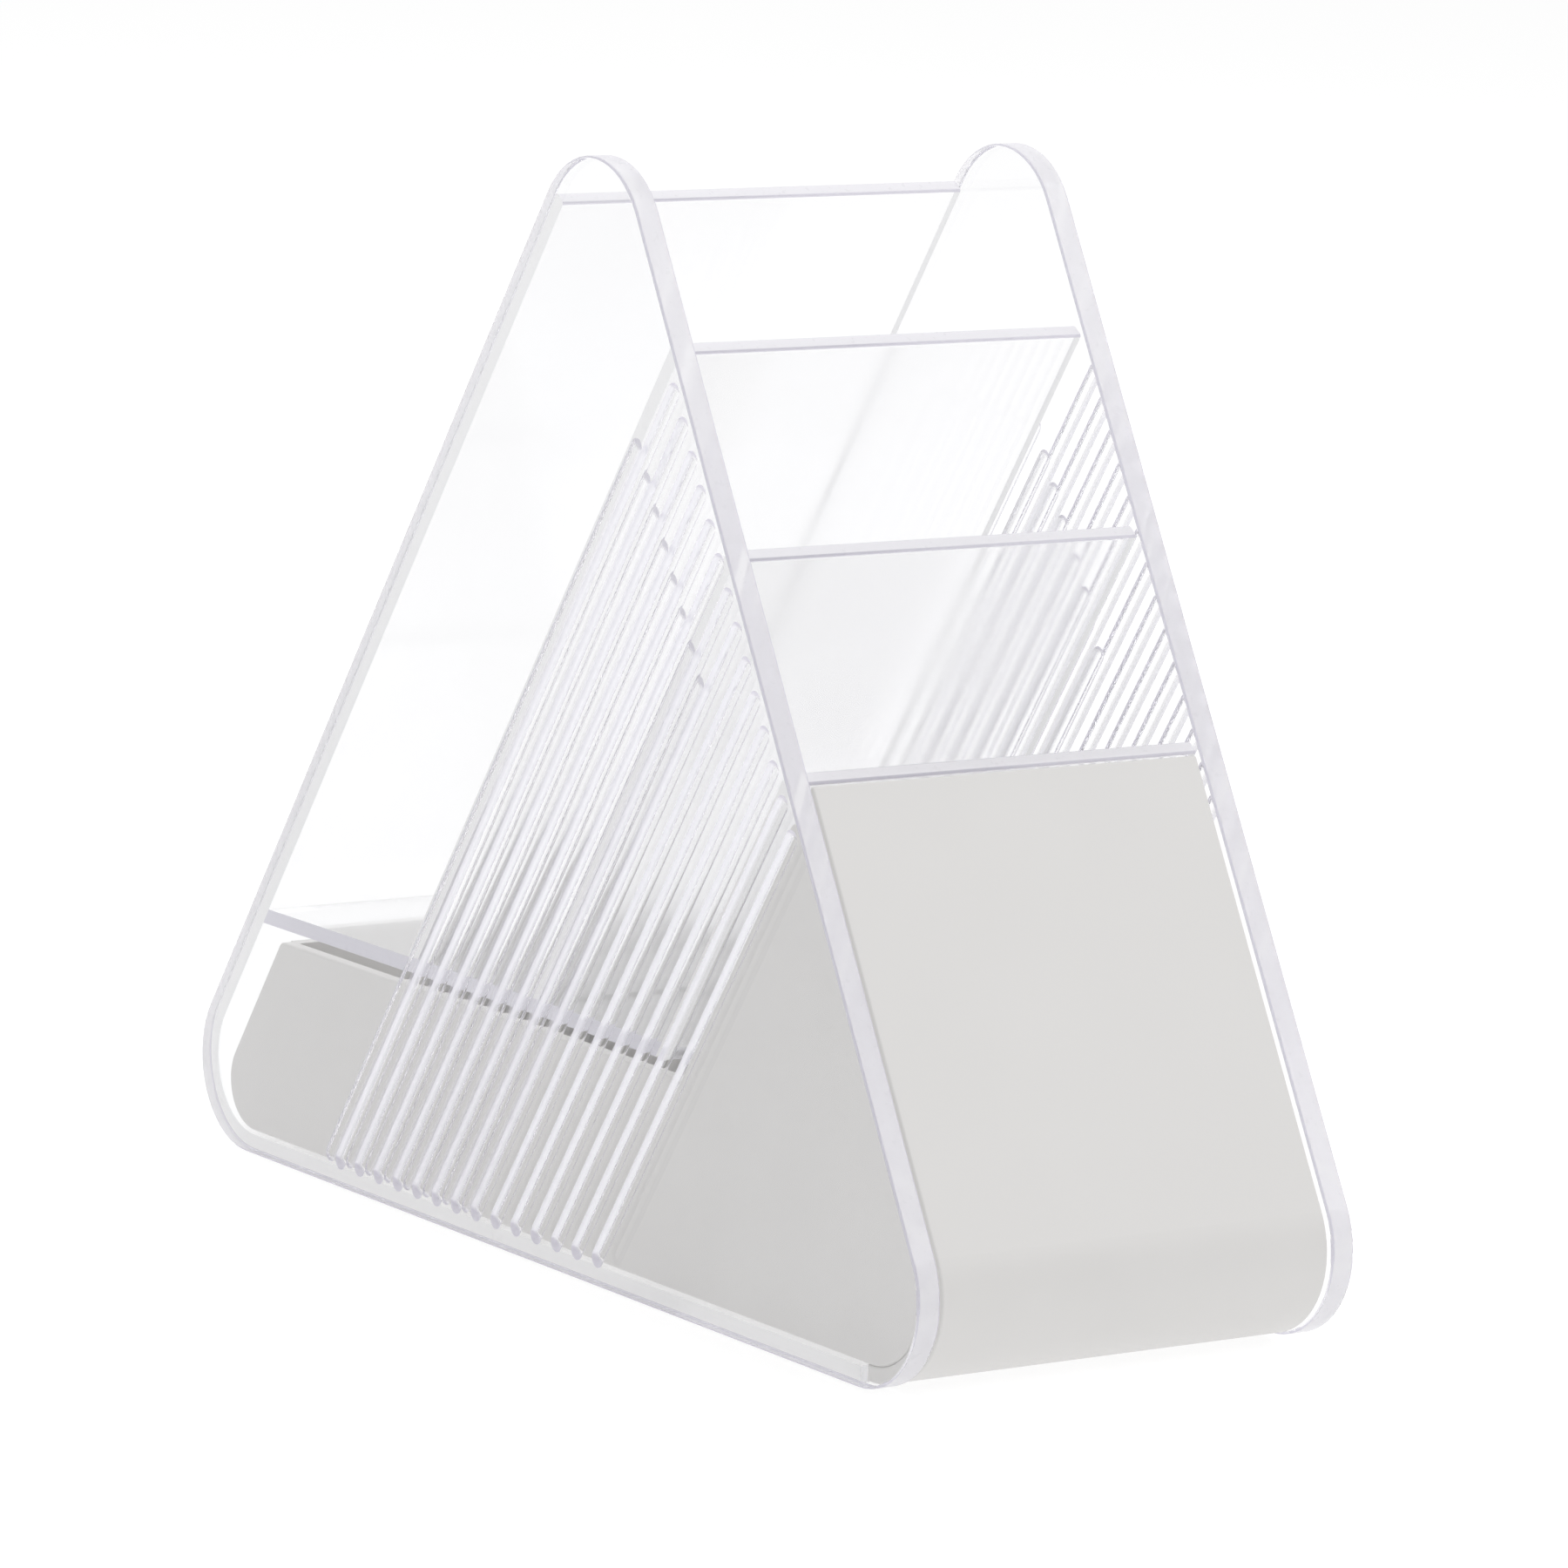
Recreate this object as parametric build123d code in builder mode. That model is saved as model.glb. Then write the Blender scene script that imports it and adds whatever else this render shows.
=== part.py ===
"""Clear triangular desk rack with three slanted pockets over a grey drawer.

All sizes are in millimetres. X runs across the rack, -Y points out of the
drawer's front and +Z is up. The origin is the middle of the footprint, on the
surface that the rack stands on. The rack is symmetric about X = 0.
"""

from build123d import *
import os
from math import acos, cos, degrees, radians, sin, tan

# ---- driving dimensions -------------------------------------------------
rack_width = 78.0
rack_depth = 196.0
front_angle = radians(60.5)
rear_angle = radians(57.2)
corner_radius = 14.0

panel_thickness = 4.0
panel_edge_round = 0.4
sheet_thickness = 2.5
sheet_edge_round = 0.6

back_top_height = 160.2
roll_tail = 0.8
roll_to_base_gap = 0.8
shelf_underside = 36.8
shelf_thickness = 2.4
divider_front_inset = 0.8
rear_divider_inset = 36.8
middle_divider_inset = 65.3
pocket_wall_inset = 95.6

flute_pitch = 4.68
flute_first_inset = 43.3
outer_flutes = range(0, 14)
outer_flute_width = 3.0
outer_flute_depth = 0.8
outer_flute_front_margin = 1.0
inner_flutes = range(-1, 7)
inner_flute_width = 2.8
inner_flute_depth = 0.5
inner_flute_front_margin = 16.0
flute_bottom_margin = 2.9

drawer_side_gap = 0.5
drawer_wall = 2.0
drawer_front_thickness = 2.5
drawer_front_recess = 0.4
drawer_edge_round = 0.4
drawer_top_gap = 0.5
drawer_low_height = 34.5
drawer_rear_inset = 7.5
drawer_rear_radius = 7.5
drawer_slope_inset = 100.5
drawer_instep_radius = 3.0
drawer_rim_radius = 1.5

# ---- geometry of the triangle -------------------------------------------
# Where the straight front and rear slopes would meet the ground.
front_foot = -rack_depth / 2 + corner_radius - corner_radius / tan(front_angle / 2)
rear_foot = rack_depth / 2 - corner_radius + corner_radius / tan(rear_angle / 2)

panel_inner_x = rack_width / 2 - panel_thickness
drawer_half_width = panel_inner_x - drawer_side_gap
cheek_inner_x = drawer_half_width - drawer_wall
shelf_top = shelf_underside + shelf_thickness


def on_rear_slope(inset, height):
    """The point at a height and at a distance inside the rear slope."""
    return (rear_foot - (inset + height * cos(rear_angle)) / sin(rear_angle), height)


def on_front_slope(inset, height):
    """The point at a height and at a distance inside the front slope."""
    return (front_foot + (inset + height * cos(front_angle)) / sin(front_angle), height)


def between_slopes(front_inset, rear_inset):
    """The point at a distance inside each of the two slopes."""
    span = rear_foot - front_foot
    span -= front_inset / sin(front_angle) + rear_inset / sin(rear_angle)
    height = span / (1 / tan(front_angle) + 1 / tan(rear_angle))
    return on_rear_slope(rear_inset, height)


def square_to_rear_slope(point, distance):
    """A point moved outwards, square to the rear slope."""
    return (
        point[0] + distance * sin(rear_angle),
        point[1] + distance * cos(rear_angle),
    )


def profile_plane(half_width):
    """The plane of a side profile, at the left end of a piece that spans +-half_width."""
    return Plane.YZ.offset(-half_width)


# ---- side panels --------------------------------------------------------
def flute_cutter(number, face_x, width, depth, front_margin):
    """A round-ended bar that cuts one flute into a face of the left panel."""
    inset = flute_first_inset + number * flute_pitch
    radius = (width**2 / 4 + depth**2) / (2 * depth)
    outwards = -1 if face_x < -panel_inner_x else 1
    axis_x = face_x + outwards * (radius - depth)
    low = on_rear_slope(inset, flute_bottom_margin + width / 2)
    high = between_slopes(front_margin + width / 2, inset)
    start = Vector(axis_x, *low)
    run = Vector(axis_x, *high) - start
    length = run.length
    with BuildPart() as cutter:
        with BuildSketch(Plane(origin=start, x_dir=run, z_dir=(1, 0, 0))):
            with BuildLine():
                Line((-radius, 0), (length + radius, 0))
                CenterArc((length, 0), radius, 0, 90)
                Line((length, radius), (0, radius))
                CenterArc((0, 0), radius, 90, 90)
            make_face()
        revolve(axis=Axis(start, run))
    return cutter.part


outer_cutters = [
    flute_cutter(
        number,
        -rack_width / 2,
        outer_flute_width,
        outer_flute_depth,
        outer_flute_front_margin,
    )
    for number in outer_flutes
]
inner_cutters = [
    flute_cutter(
        number,
        -panel_inner_x,
        inner_flute_width,
        inner_flute_depth,
        inner_flute_front_margin,
    )
    for number in inner_flutes
]

with BuildPart() as left_side_panel:
    with BuildSketch(profile_plane(rack_width / 2)) as outline:
        with BuildLine():
            Polyline(
                (front_foot, 0), (rear_foot, 0), between_slopes(0, 0), close=True
            )
        make_face()
        fillet(outline.vertices(), corner_radius)
    extrude(amount=panel_thickness)
    flat_faces = left_side_panel.faces().filter_by(Axis.X)
    fillet(flat_faces.edges(), panel_edge_round)
    add(outer_cutters + inner_cutters, mode=Mode.SUBTRACT)
left_side_panel.part.label = "left_side_panel"

with BuildPart() as right_side_panel:
    mirror(left_side_panel.part, about=Plane.YZ)
right_side_panel.part.label = "right_side_panel"

# ---- back wall and base, one sheet bent round the rear corner -----------
roll_centre_y = -rack_depth / 2 + corner_radius
roll_end = roll_centre_y + roll_tail
base_front_end = roll_end + roll_to_base_gap
back_top = on_rear_slope(0, back_top_height)

with BuildPart() as back_and_base_shell:
    with BuildSketch(profile_plane(panel_inner_x)):
        with BuildLine():
            outside = FilletPolyline(
                back_top, (rear_foot, 0), (base_front_end, 0), radius=corner_radius
            )
            inside = FilletPolyline(
                square_to_rear_slope(back_top, -sheet_thickness),
                on_rear_slope(sheet_thickness, sheet_thickness),
                (base_front_end, sheet_thickness),
                radius=corner_radius - sheet_thickness,
            )
            Line(outside @ 0, inside @ 0)
            Line(outside @ 1, inside @ 1)
        make_face()
    extrude(amount=2 * panel_inner_x)
    top_edges = back_and_base_shell.edges().filter_by(Axis.X).sort_by(Axis.Z)[-2:]
    fillet(top_edges, sheet_edge_round)
back_and_base_shell.part.label = "back_and_base_shell"

# ---- shelf over the drawer ----------------------------------------------
with BuildPart() as shelf:
    with BuildSketch(profile_plane(panel_inner_x)):
        with BuildLine():
            Polyline(
                on_rear_slope(sheet_thickness, shelf_underside),
                on_rear_slope(sheet_thickness, shelf_top),
                on_rear_slope(pocket_wall_inset, shelf_top),
                on_rear_slope(pocket_wall_inset, shelf_underside),
                close=True,
            )
        make_face()
    extrude(amount=2 * panel_inner_x)
shelf.part.label = "shelf"


# ---- slanted dividers and pocket wall -----------------------------------
def slanted_wall(label, rear_face_inset, foot_height):
    """A sheet parallel to the back, from foot_height up to the front slope."""
    front_face_inset = rear_face_inset + sheet_thickness
    front_corner = between_slopes(divider_front_inset, front_face_inset)
    with BuildPart() as wall:
        with BuildSketch(profile_plane(panel_inner_x)):
            with BuildLine():
                Polyline(
                    on_rear_slope(rear_face_inset, foot_height),
                    square_to_rear_slope(front_corner, sheet_thickness),
                    front_corner,
                    on_rear_slope(front_face_inset, foot_height),
                    close=True,
                )
            make_face()
        extrude(amount=2 * panel_inner_x)
        top_edges = wall.edges().filter_by(Axis.X).sort_by(Axis.Z)[-2:]
        fillet(top_edges, sheet_edge_round)
    wall.part.label = label
    return wall


rear_divider = slanted_wall("rear_divider", rear_divider_inset, shelf_top)
middle_divider = slanted_wall("middle_divider", middle_divider_inset, shelf_top)
front_pocket_wall = slanted_wall("front_pocket_wall", pocket_wall_inset, shelf_underside)

# ---- drawer -------------------------------------------------------------
# The front is a sheet rolled under at the foot. Its inner face sets the height
# of the drawer's floor, which clears the base.
front_inner_inset = drawer_front_recess + drawer_front_thickness
front_inner_radius = corner_radius - front_inner_inset
front_top_inset = pocket_wall_inset + sheet_thickness + drawer_top_gap
floor_underside = front_inner_inset
floor_top = floor_underside + drawer_wall

with BuildPart() as drawer_front:
    with BuildSketch(profile_plane(drawer_half_width)):
        with BuildLine():
            outside = FilletPolyline(
                between_slopes(drawer_front_recess, front_top_inset),
                on_front_slope(drawer_front_recess, drawer_front_recess),
                (roll_end, drawer_front_recess),
                radius=corner_radius - drawer_front_recess,
            )
            inside = FilletPolyline(
                between_slopes(front_inner_inset, front_top_inset),
                on_front_slope(front_inner_inset, front_inner_inset),
                (roll_end, front_inner_inset),
                radius=front_inner_radius,
            )
            Line(outside @ 0, inside @ 0)
            Line(outside @ 1, inside @ 1)
        make_face()
    extrude(amount=2 * drawer_half_width)
    end_edges = drawer_front.faces().filter_by(Axis.X).edges()
    top_edges = drawer_front.edges().filter_by(Axis.X).sort_by(Axis.Z)[-2:]
    fillet(end_edges + top_edges, drawer_edge_round)
drawer_front.part.label = "drawer_front"

# The floor's front end is shaped to the roll that it is bonded to.
weld_angle = degrees(acos((corner_radius - floor_top) / front_inner_radius))

with BuildPart() as drawer_tub:
    with BuildSketch(profile_plane(cheek_inner_x)):
        with BuildLine():
            outside = FilletPolyline(
                on_rear_slope(drawer_rear_inset, drawer_low_height),
                on_rear_slope(drawer_rear_inset, floor_underside),
                (roll_centre_y, floor_underside),
                radius=drawer_rear_radius,
            )
            weld = CenterArc(
                (roll_centre_y, corner_radius), front_inner_radius, 270, -weld_angle
            )
            inside = FilletPolyline(
                weld @ 1,
                on_rear_slope(drawer_rear_inset + drawer_wall, floor_top),
                on_rear_slope(drawer_rear_inset + drawer_wall, drawer_low_height),
                radius=drawer_rear_radius - drawer_wall,
            )
            Line(inside @ 1, outside @ 0)
        make_face()
    extrude(amount=2 * cheek_inner_x)
drawer_tub.part.label = "drawer_tub"

with BuildPart() as drawer_left_cheek:
    with BuildSketch(profile_plane(drawer_half_width)):
        with BuildLine():
            FilletPolyline(
                between_slopes(front_inner_inset, drawer_slope_inset),
                on_rear_slope(drawer_slope_inset, drawer_low_height),
                on_rear_slope(drawer_rear_inset, drawer_low_height),
                on_rear_slope(drawer_rear_inset, floor_underside),
                on_front_slope(front_inner_inset, floor_underside),
                radius=(
                    drawer_rim_radius,
                    drawer_instep_radius,
                    drawer_rim_radius,
                    drawer_rear_radius,
                    front_inner_radius,
                ),
                close=True,
            )
        make_face()
    extrude(amount=drawer_wall)
    outer_face = drawer_left_cheek.faces().filter_by(Axis.X).sort_by(Axis.X)[0]
    fillet(outer_face.edges(), drawer_edge_round)
drawer_left_cheek.part.label = "drawer_left_cheek"

with BuildPart() as drawer_right_cheek:
    mirror(drawer_left_cheek.part, about=Plane.YZ)
drawer_right_cheek.part.label = "drawer_right_cheek"

# ---- files --------------------------------------------------------------
os.makedirs("parts", exist_ok=True)
for piece in (
    left_side_panel,
    right_side_panel,
    back_and_base_shell,
    shelf,
    rear_divider,
    middle_divider,
    front_pocket_wall,
    drawer_front,
    drawer_tub,
    drawer_left_cheek,
    drawer_right_cheek,
):
    export_step(piece.part, f"parts/{piece.part.label}.step")
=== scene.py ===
"""Clear triangular desk rack with a grey drawer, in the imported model's frame. Metres."""

from math import cos, radians, sin

import bpy
from mathutils import Matrix, Vector


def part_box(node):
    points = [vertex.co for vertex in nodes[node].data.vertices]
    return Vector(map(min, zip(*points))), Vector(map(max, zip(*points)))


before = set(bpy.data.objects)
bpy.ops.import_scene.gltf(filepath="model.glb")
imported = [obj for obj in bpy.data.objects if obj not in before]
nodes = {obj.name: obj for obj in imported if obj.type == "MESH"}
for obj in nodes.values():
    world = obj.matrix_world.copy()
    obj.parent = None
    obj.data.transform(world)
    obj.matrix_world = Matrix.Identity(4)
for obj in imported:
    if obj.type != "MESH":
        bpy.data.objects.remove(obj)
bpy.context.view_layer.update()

# ---- directions on the rack ---------------------------------------------
REAR_ANGLE = radians(57.2)
SIDEWAYS = (1, 0, 0)
# The flutes run up the slope, parallel to the back. Across them is up and rearwards.
SLOPE_UP = (0, -cos(REAR_ANGLE), sin(REAR_ANGLE))
ACROSS_FLUTES = (0, sin(REAR_ANGLE), cos(REAR_ANGLE))

# ---- looks that several pieces share ------------------------------------
# A slanted sheet is taken as sawn from this far below its top.
SAWN_DEPTH = 0.004
SAWN_FADE = 0.0005
CLEAR_TINT = (0.975, 0.975, 0.979)
CLEAR_IOR = 1.49
DEPTH_TINT = (0.3, 0.28, 0.40)
DEPTH_DENSITY = 0.6
# What one clear surface leaves of the lamps' and the soft light.
PASSING_TINT = (0.98, 0.98, 0.98)
# Painted shade: the grey laid on the flutes' rear walls and along the arrises.
SHADE_LINE_TINT = (0.70, 0.68, 0.77)
RIM_TINT = (0.89, 0.88, 0.92)
CEMENTED_TINT = (0.98, 0.98, 0.99)
# Painted shade: the shelf's cemented ends are greyer than the other sheets'.
SHELF_END_SHADE_TINT = (0.80, 0.79, 0.86)
# How much of the painted grey shade is laid on.
SHADE_LINE_SHARE = 0.8
POLISH_GRAIN = 900

# ---- studio -------------------------------------------------------------
# The world's strength where it is seen, and where it lights a matt surface.
SEEN_WHITE = 1.04
SOFT_LIGHT = 0.60
FLOOR_HALF_WIDTH = 20
FLOOR_DROP = 0.0002
LIGHT_BOUNCES = 24


def add_camera():
    """A long lens, a little above and to the left of the drawer's front."""
    azimuth, elevation, roll = radians(-35.05), radians(9.94), radians(2.23)
    distance = 1.254
    aim = Vector((0.0016, -0.0025, 0.0705))
    back = Vector(
        (
            sin(azimuth) * cos(elevation),
            -cos(azimuth) * cos(elevation),
            sin(elevation),
        )
    )
    level = Vector((cos(azimuth), sin(azimuth), 0))
    upright = back.cross(level)
    right = level * cos(roll) + upright * sin(roll)
    up = back.cross(right)
    data = bpy.data.cameras.new("camera")
    data.lens = 190.8
    data.sensor_width = 36
    camera = bpy.data.objects.new("camera", data)
    turn = Matrix((right, up, back)).transposed().to_4x4()
    camera.matrix_world = Matrix.Translation(aim + back * distance) @ turn
    bpy.context.scene.collection.objects.link(camera)
    bpy.context.scene.camera = camera


# ---- node helpers -------------------------------------------------------
def new_material(name):
    """A material with its node tree and the shader it starts with."""
    material = bpy.data.materials.new(name)
    material.use_nodes = True
    tree = material.node_tree
    return material, tree, tree.nodes["Principled BSDF"]


def add_node(tree, kind, **settings):
    node = tree.nodes.new(kind)
    for key, value in settings.items():
        setattr(node, key, value)
    return node


def noise(tree, scale, detail):
    """A noise value laid out in metres in the object's own space."""
    place = add_node(tree, "ShaderNodeTexCoord")
    pattern = add_node(tree, "ShaderNodeTexNoise")
    pattern.inputs["Scale"].default_value = scale
    pattern.inputs["Detail"].default_value = detail
    tree.links.new(place.outputs["Object"], pattern.inputs["Vector"])
    return pattern.outputs["Fac"]


def remap(tree, value, low, high, to_low, to_high):
    """to_low up to low, to_high from high on, and a straight ramp between."""
    node = add_node(tree, "ShaderNodeMapRange")
    node.inputs["From Min"].default_value = low
    node.inputs["From Max"].default_value = high
    node.inputs["To Min"].default_value = to_low
    node.inputs["To Max"].default_value = to_high
    tree.links.new(value, node.inputs["Value"])
    return node.outputs["Result"]


def mix_colours(tree, factor, first, second):
    """The Mix node repeats socket names for each data type, so these go by number."""
    factor_in, first_in, second_in, colour_out = 0, 6, 7, 2
    node = add_node(tree, "ShaderNodeMix", data_type="RGBA")
    node.inputs[first_in].default_value = (*first, 1)
    node.inputs[second_in].default_value = (*second, 1)
    tree.links.new(factor, node.inputs[factor_in])
    return node.outputs[colour_out]


def combine(tree, operation, first, second):
    node = add_node(tree, "ShaderNodeMath", operation=operation)
    tree.links.new(first, node.inputs[0])
    tree.links.new(second, node.inputs[1])
    return node.outputs[0]


def larger(tree, first, second):
    return combine(tree, "MAXIMUM", first, second)


def product(tree, first, second):
    return combine(tree, "MULTIPLY", first, second)


def towards(tree, direction):
    """The cosine between the surface's own normal and a direction."""
    place = add_node(tree, "ShaderNodeTexCoord")
    dot = add_node(tree, "ShaderNodeVectorMath", operation="DOT_PRODUCT")
    dot.inputs[1].default_value = direction
    tree.links.new(place.outputs["Normal"], dot.inputs[0])
    return dot.outputs["Value"]


def facing(tree, direction):
    """The same cosine without its sign."""
    size = add_node(tree, "ShaderNodeMath", operation="ABSOLUTE")
    tree.links.new(towards(tree, direction), size.inputs[0])
    return size.outputs[0]


def bump(tree, shader, height, strength, distance):
    node = add_node(tree, "ShaderNodeBump")
    node.inputs["Strength"].default_value = strength
    node.inputs["Distance"].default_value = distance
    tree.links.new(height, node.inputs["Height"])
    tree.links.new(node.outputs["Normal"], shader.inputs["Normal"])


def over(tree, surface, mask, layer):
    """A layer laid over a surface where the mask is 1."""
    mix = add_node(tree, "ShaderNodeMixShader")
    tree.links.new(mask, mix.inputs[0])
    tree.links.new(surface, mix.inputs[1])
    tree.links.new(layer, mix.inputs[2])
    return mix.outputs[0]


# ---- clear plastic ------------------------------------------------------
def satin_edge_and_painted_shade(tree, tint):
    """The sawn and lightly polished edge of a clear sheet: milky, with a fine grain. In
    the grey line tint the same layer is painted shade along flutes and arrises.
    """
    shader = add_node(tree, "ShaderNodeBsdfPrincipled")
    grain = noise(tree, POLISH_GRAIN, 4.0)
    darker = [0.94 * part for part in tint]
    colour = mix_colours(tree, grain, darker, tint)
    tree.links.new(colour, shader.inputs["Base Color"])
    roughness = remap(tree, grain, 0.3, 0.7, 0.25, 0.45)
    tree.links.new(roughness, shader.inputs["Roughness"])
    glow = add_node(tree, "ShaderNodeBsdfTranslucent")
    glow.inputs["Color"].default_value = (*tint, 1)
    both = add_node(tree, "ShaderNodeMixShader")
    both.inputs[0].default_value = 0.4
    tree.links.new(shader.outputs[0], both.inputs[1])
    tree.links.new(glow.outputs[0], both.inputs[2])
    return both.outputs[0]


def painted_highlight_wall(tree):
    """Painted highlight on a groove wall: a metal-like mirror layer that throws back the
    white studio, softened by its fine grain.
    """
    shader = add_node(tree, "ShaderNodeBsdfPrincipled")
    grain = noise(tree, POLISH_GRAIN, 4.0)
    colour = mix_colours(tree, grain, (0.86, 0.85, 0.91), (0.91, 0.90, 0.96))
    tree.links.new(colour, shader.inputs["Base Color"])
    shader.inputs["Metallic"].default_value = 1.0
    roughness = remap(tree, grain, 0.3, 0.7, 0.3, 0.45)
    tree.links.new(roughness, shader.inputs["Roughness"])
    return shader.outputs[0]


def clear_plastic(name, haziest):
    """Clear plastic, lavender grey in its depth, and its uneven haze, still to link."""
    material, tree, shader = new_material(name)
    shader.inputs["Base Color"].default_value = (*CLEAR_TINT, 1)
    shader.inputs["Transmission Weight"].default_value = 1.0
    shader.inputs["IOR"].default_value = CLEAR_IOR
    haze = remap(tree, noise(tree, 35, 4.0), 0.35, 0.7, 0.3 * haziest, haziest)
    depth = add_node(tree, "ShaderNodeVolumeAbsorption")
    depth.inputs["Color"].default_value = (*DEPTH_TINT, 1)
    depth.inputs["Density"].default_value = DEPTH_DENSITY
    tree.links.new(depth.outputs[0], tree.nodes["Material Output"].inputs["Volume"])
    return material, tree, shader, haze


def finish_clear(material, tree, surface):
    """Lamps and soft light reach what stands behind the clear sheet."""
    path = add_node(tree, "ShaderNodeLightPath")
    either = larger(tree, path.outputs["Is Shadow Ray"], path.outputs["Is Diffuse Ray"])
    passing = add_node(tree, "ShaderNodeBsdfTransparent")
    passing.inputs["Color"].default_value = (*PASSING_TINT, 1)
    surface = over(tree, surface, either, passing.outputs[0])
    tree.links.new(surface, tree.nodes["Material Output"].inputs["Surface"])
    return material


def cover_ends(tree, surface, tint):
    """Milky ends, where a sheet is cemented to the side panels."""
    ends = remap(tree, facing(tree, SIDEWAYS), 0.9, 0.95, 0, 1)
    return over(tree, surface, ends, satin_edge_and_painted_shade(tree, tint))


def fluted_panel():
    """A side panel: satin rim, and flutes with a painted highlight and painted grey shade.

    How far the surface faces sideways tells its parts apart: under 0.3 on the rim,
    0.5 or more in the flutes and 1 on the flat faces.
    """
    material, tree, shader, haze = clear_plastic("clear_fluted_panel", 0.04)
    flat = facing(tree, SIDEWAYS)
    groove_haze = remap(tree, flat, 0.93, 0.99, 0.12, 0.0)
    tree.links.new(larger(tree, haze, groove_haze), shader.inputs["Roughness"])
    # A flute's wall that faces the front gets a painted highlight, the one that faces the
    # rear painted grey shade.
    across = towards(tree, ACROSS_FLUTES)
    off_rim = remap(tree, flat, 0.3, 0.45, 0, 1)
    front_wall_highlight = product(tree, remap(tree, across, -0.6, -0.15, 0.5, 0), off_rim)
    surface = over(tree, shader.outputs[0], front_wall_highlight, painted_highlight_wall(tree))
    rear_wall_shade = remap(tree, across, 0.2, 0.6, 0, SHADE_LINE_SHARE)
    # The flutes' round ends and the panel's arrises lean along the slope; they get painted
    # grey shade lines too.
    along = remap(tree, facing(tree, SLOPE_UP), 0.1, 0.3, 0, SHADE_LINE_SHARE)
    arris = product(tree, along, remap(tree, flat, 0.1, 0.25, 0, 1))
    lines = larger(tree, rear_wall_shade, arris)
    surface = over(tree, surface, lines, satin_edge_and_painted_shade(tree, SHADE_LINE_TINT))
    rim = remap(tree, flat, 0.15, 0.3, 0.65, 0)
    surface = over(tree, surface, rim, satin_edge_and_painted_shade(tree, RIM_TINT))
    return finish_clear(material, tree, surface)


def slanted_sheet(name, edge_from):
    """A sheet between the side panels, satin where it is sawn, above edge_from, with a
    painted grey shade line along the sawn top's arrises.
    """
    material, tree, shader, haze = clear_plastic(name, 0.14)
    tree.links.new(haze, shader.inputs["Roughness"])
    place = add_node(tree, "ShaderNodeTexCoord")
    height = add_node(tree, "ShaderNodeSeparateXYZ")
    tree.links.new(place.outputs["Object"], height.inputs[0])
    edge_full = edge_from + SAWN_FADE
    sawn = remap(tree, height.outputs["Z"], edge_from, edge_full, 0, 1)
    upward = product(tree, facing(tree, SLOPE_UP), sawn)
    # Painted shade: a grey line along the arrises of the sawn top.
    arris = remap(tree, upward, 0.2, 0.3, 0, SHADE_LINE_SHARE)
    surface = over(tree, shader.outputs[0], arris, satin_edge_and_painted_shade(tree, SHADE_LINE_TINT))
    top = remap(tree, upward, 0.85, 0.95, 0, 1)
    surface = over(tree, surface, top, satin_edge_and_painted_shade(tree, RIM_TINT))
    surface = cover_ends(tree, surface, CEMENTED_TINT)
    return finish_clear(material, tree, surface)


def shelf_sheet():
    """The shelf over the drawer, with ends like the slanted sheets' but painted greyer, as
    painted shade.
    """
    material, tree, shader, haze = clear_plastic("clear_shelf", 0.06)
    tree.links.new(haze, shader.inputs["Roughness"])
    # The greyer ends are painted shade.
    surface = cover_ends(tree, shader.outputs[0], SHELF_END_SHADE_TINT)
    return finish_clear(material, tree, surface)


# ---- grey plastic -------------------------------------------------------
def grey_plastic():
    """Opaque grey plastic with a faint mottle and a fine grain."""
    material, tree, shader = new_material("grey_plastic")
    mottle = noise(tree, 60, 5.0)
    colour = mix_colours(tree, mottle, (0.66, 0.65, 0.64), (0.70, 0.69, 0.68))
    tree.links.new(colour, shader.inputs["Base Color"])
    roughness = remap(tree, mottle, 0.3, 0.7, 0.38, 0.5)
    tree.links.new(roughness, shader.inputs["Roughness"])
    bump(tree, shader, height=noise(tree, 2500, 2.0), strength=0.08, distance=0.0001)
    return material


def assign(material, *names):
    for name in names:
        for slot in nodes[name].material_slots:
            slot.material = material


def finish_materials():
    assign(fluted_panel(), "left_side_panel", "right_side_panel")
    slanted = (
        "back_and_base_shell",
        "rear_divider",
        "middle_divider",
        "front_pocket_wall",
    )
    for name in slanted:
        top_of_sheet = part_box(name)[1][2]
        assign(slanted_sheet("clear_" + name, top_of_sheet - SAWN_DEPTH), name)
    assign(shelf_sheet(), "shelf")
    assign(grey_plastic(), *(name for name in nodes if name.startswith("drawer")))


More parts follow.
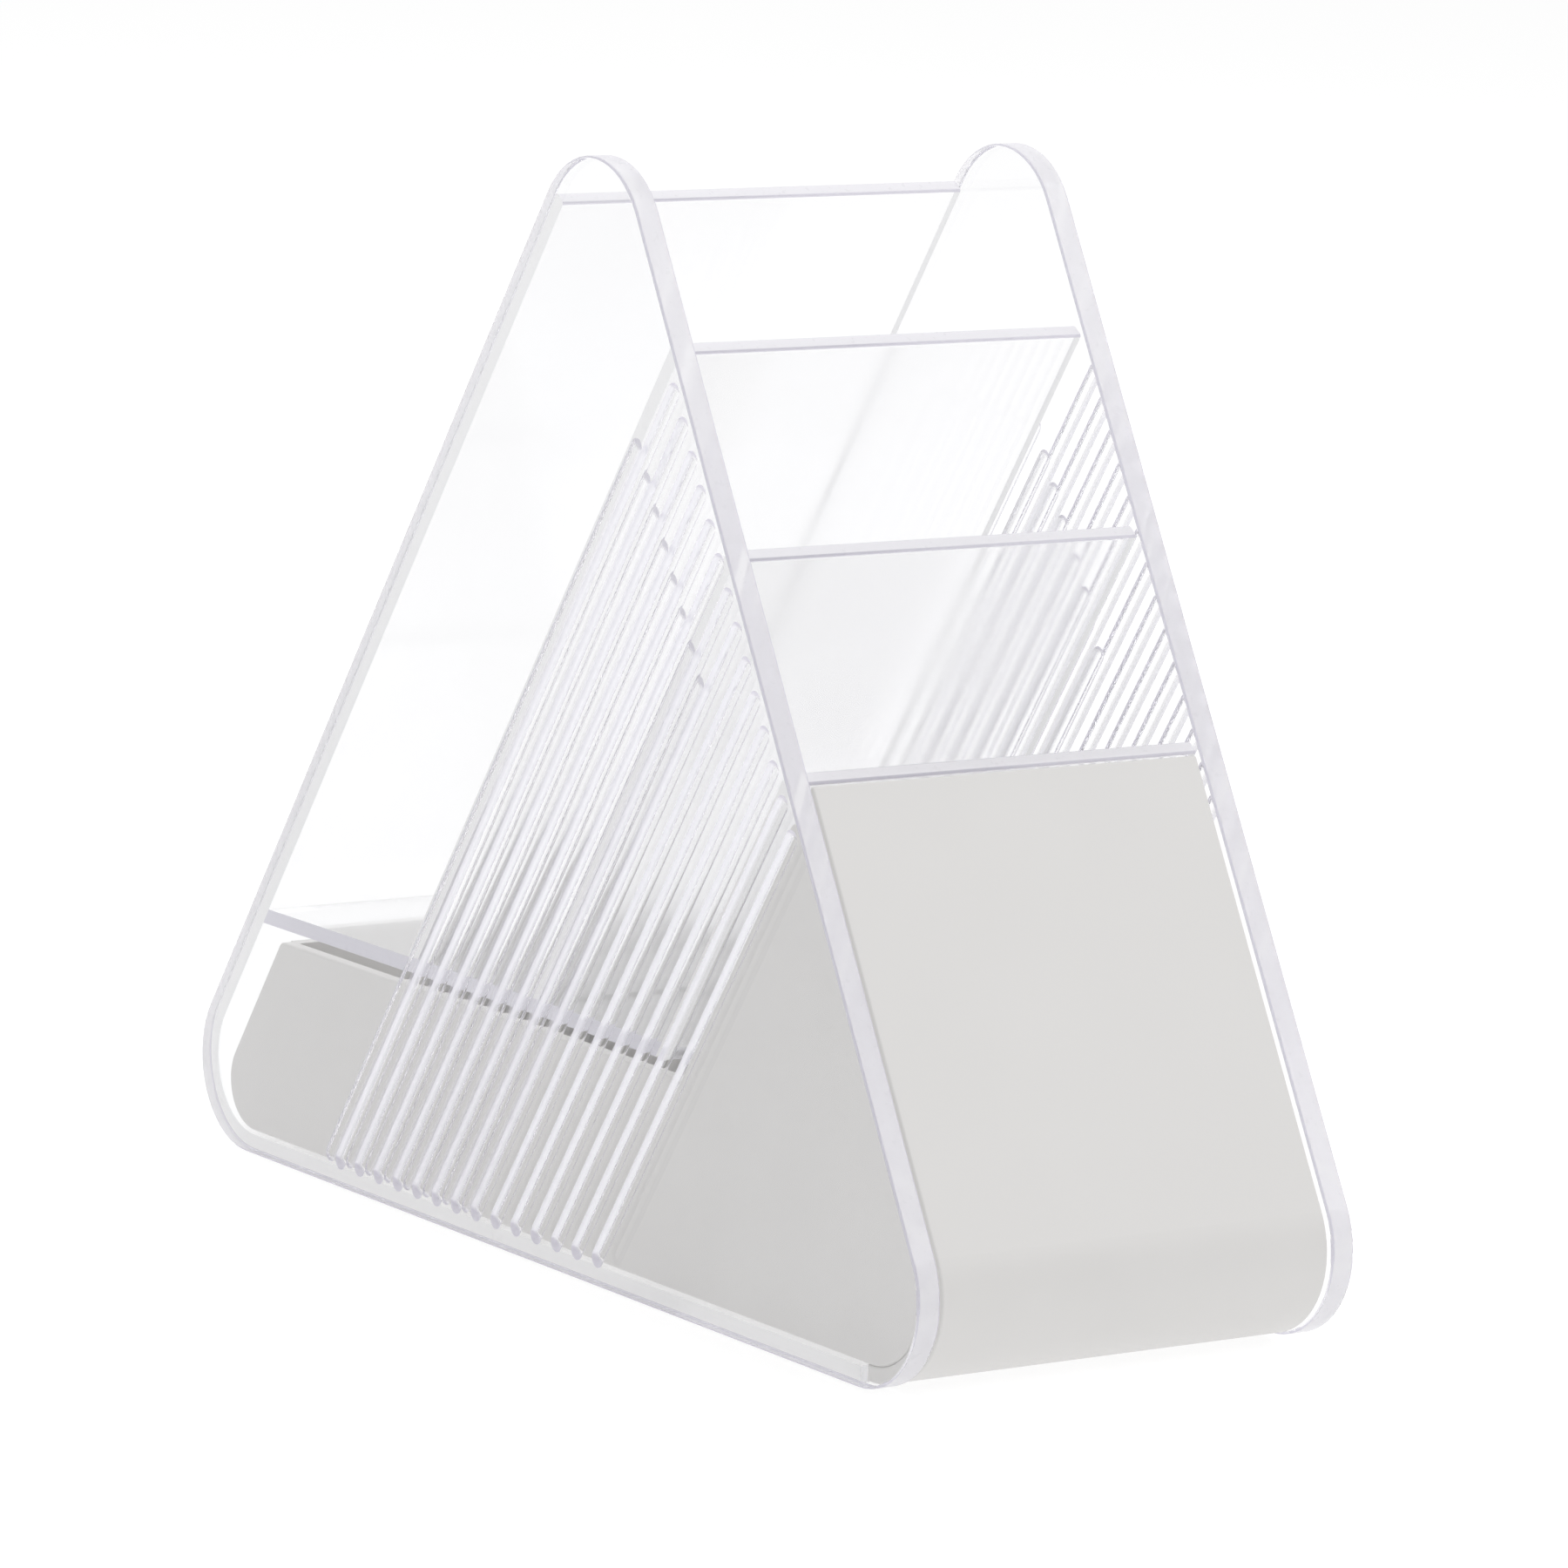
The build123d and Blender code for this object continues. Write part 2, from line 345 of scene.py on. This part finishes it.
# ---- floor and light ----------------------------------------------------
def add_floor():
    """A pale floor that glows like a light table, just under the rack."""
    mesh = bpy.data.meshes.new("floor")
    half = FLOOR_HALF_WIDTH
    mesh.from_pydata(
        [(-half, -half, 0), (half, -half, 0), (half, half, 0), (-half, half, 0)],
        [],
        [(0, 1, 2, 3)],
    )
    floor = bpy.data.objects.new("floor", mesh)
    floor.location.z = -FLOOR_DROP
    bpy.context.scene.collection.objects.link(floor)
    material, _, shader = new_material("pale_floor")
    shader.inputs["Base Color"].default_value = (0.35, 0.35, 0.35, 1)
    shader.inputs["Roughness"].default_value = 1.0
    shader.inputs["Specular IOR Level"].default_value = 0.0
    shader.inputs["Emission Color"].default_value = (1, 1, 1, 1)
    shader.inputs["Emission Strength"].default_value = 0.75
    mesh.materials.append(material)


def add_area(name, location, target, width, power):
    """A square lamp of this width, aimed at the target, with its power in watts."""
    data = bpy.data.lights.new(name, "AREA")
    data.shape = "SQUARE"
    data.size = width
    data.energy = power
    lamp = bpy.data.objects.new(name, data)
    lamp.location = location
    aim = Vector(target) - Vector(location)
    lamp.rotation_euler = aim.to_track_quat("-Z", "Y").to_euler()
    bpy.context.scene.collection.objects.link(lamp)


def add_studio():
    """White all round to look at, dimmer as soft light, and two soft lamps."""
    world = bpy.data.worlds.new("studio")
    bpy.context.scene.world = world
    world.use_nodes = True
    tree = world.node_tree
    background = tree.nodes["Background"]
    background.inputs["Color"].default_value = (1, 1, 1, 1)
    path = add_node(tree, "ShaderNodeLightPath")
    diffuse = path.outputs["Is Diffuse Ray"]
    strength = remap(tree, diffuse, 0, 1, SEEN_WHITE, SOFT_LIGHT)
    tree.links.new(strength, background.inputs["Strength"])
    add_area("key", (0.9, -1.0, 1.3), (0, 0, 0.08), width=1.2, power=9)
    add_area("overhead", (0.1, 0.5, 1.6), (0, 0, 0), width=1.6, power=10)


add_camera()
finish_materials()
add_floor()
add_studio()
bpy.context.scene.view_settings.view_transform = "Standard"
cycles = bpy.context.scene.cycles
cycles.max_bounces = LIGHT_BOUNCES
cycles.transmission_bounces = LIGHT_BOUNCES
cycles.glossy_bounces = LIGHT_BOUNCES
cycles.transparent_max_bounces = LIGHT_BOUNCES
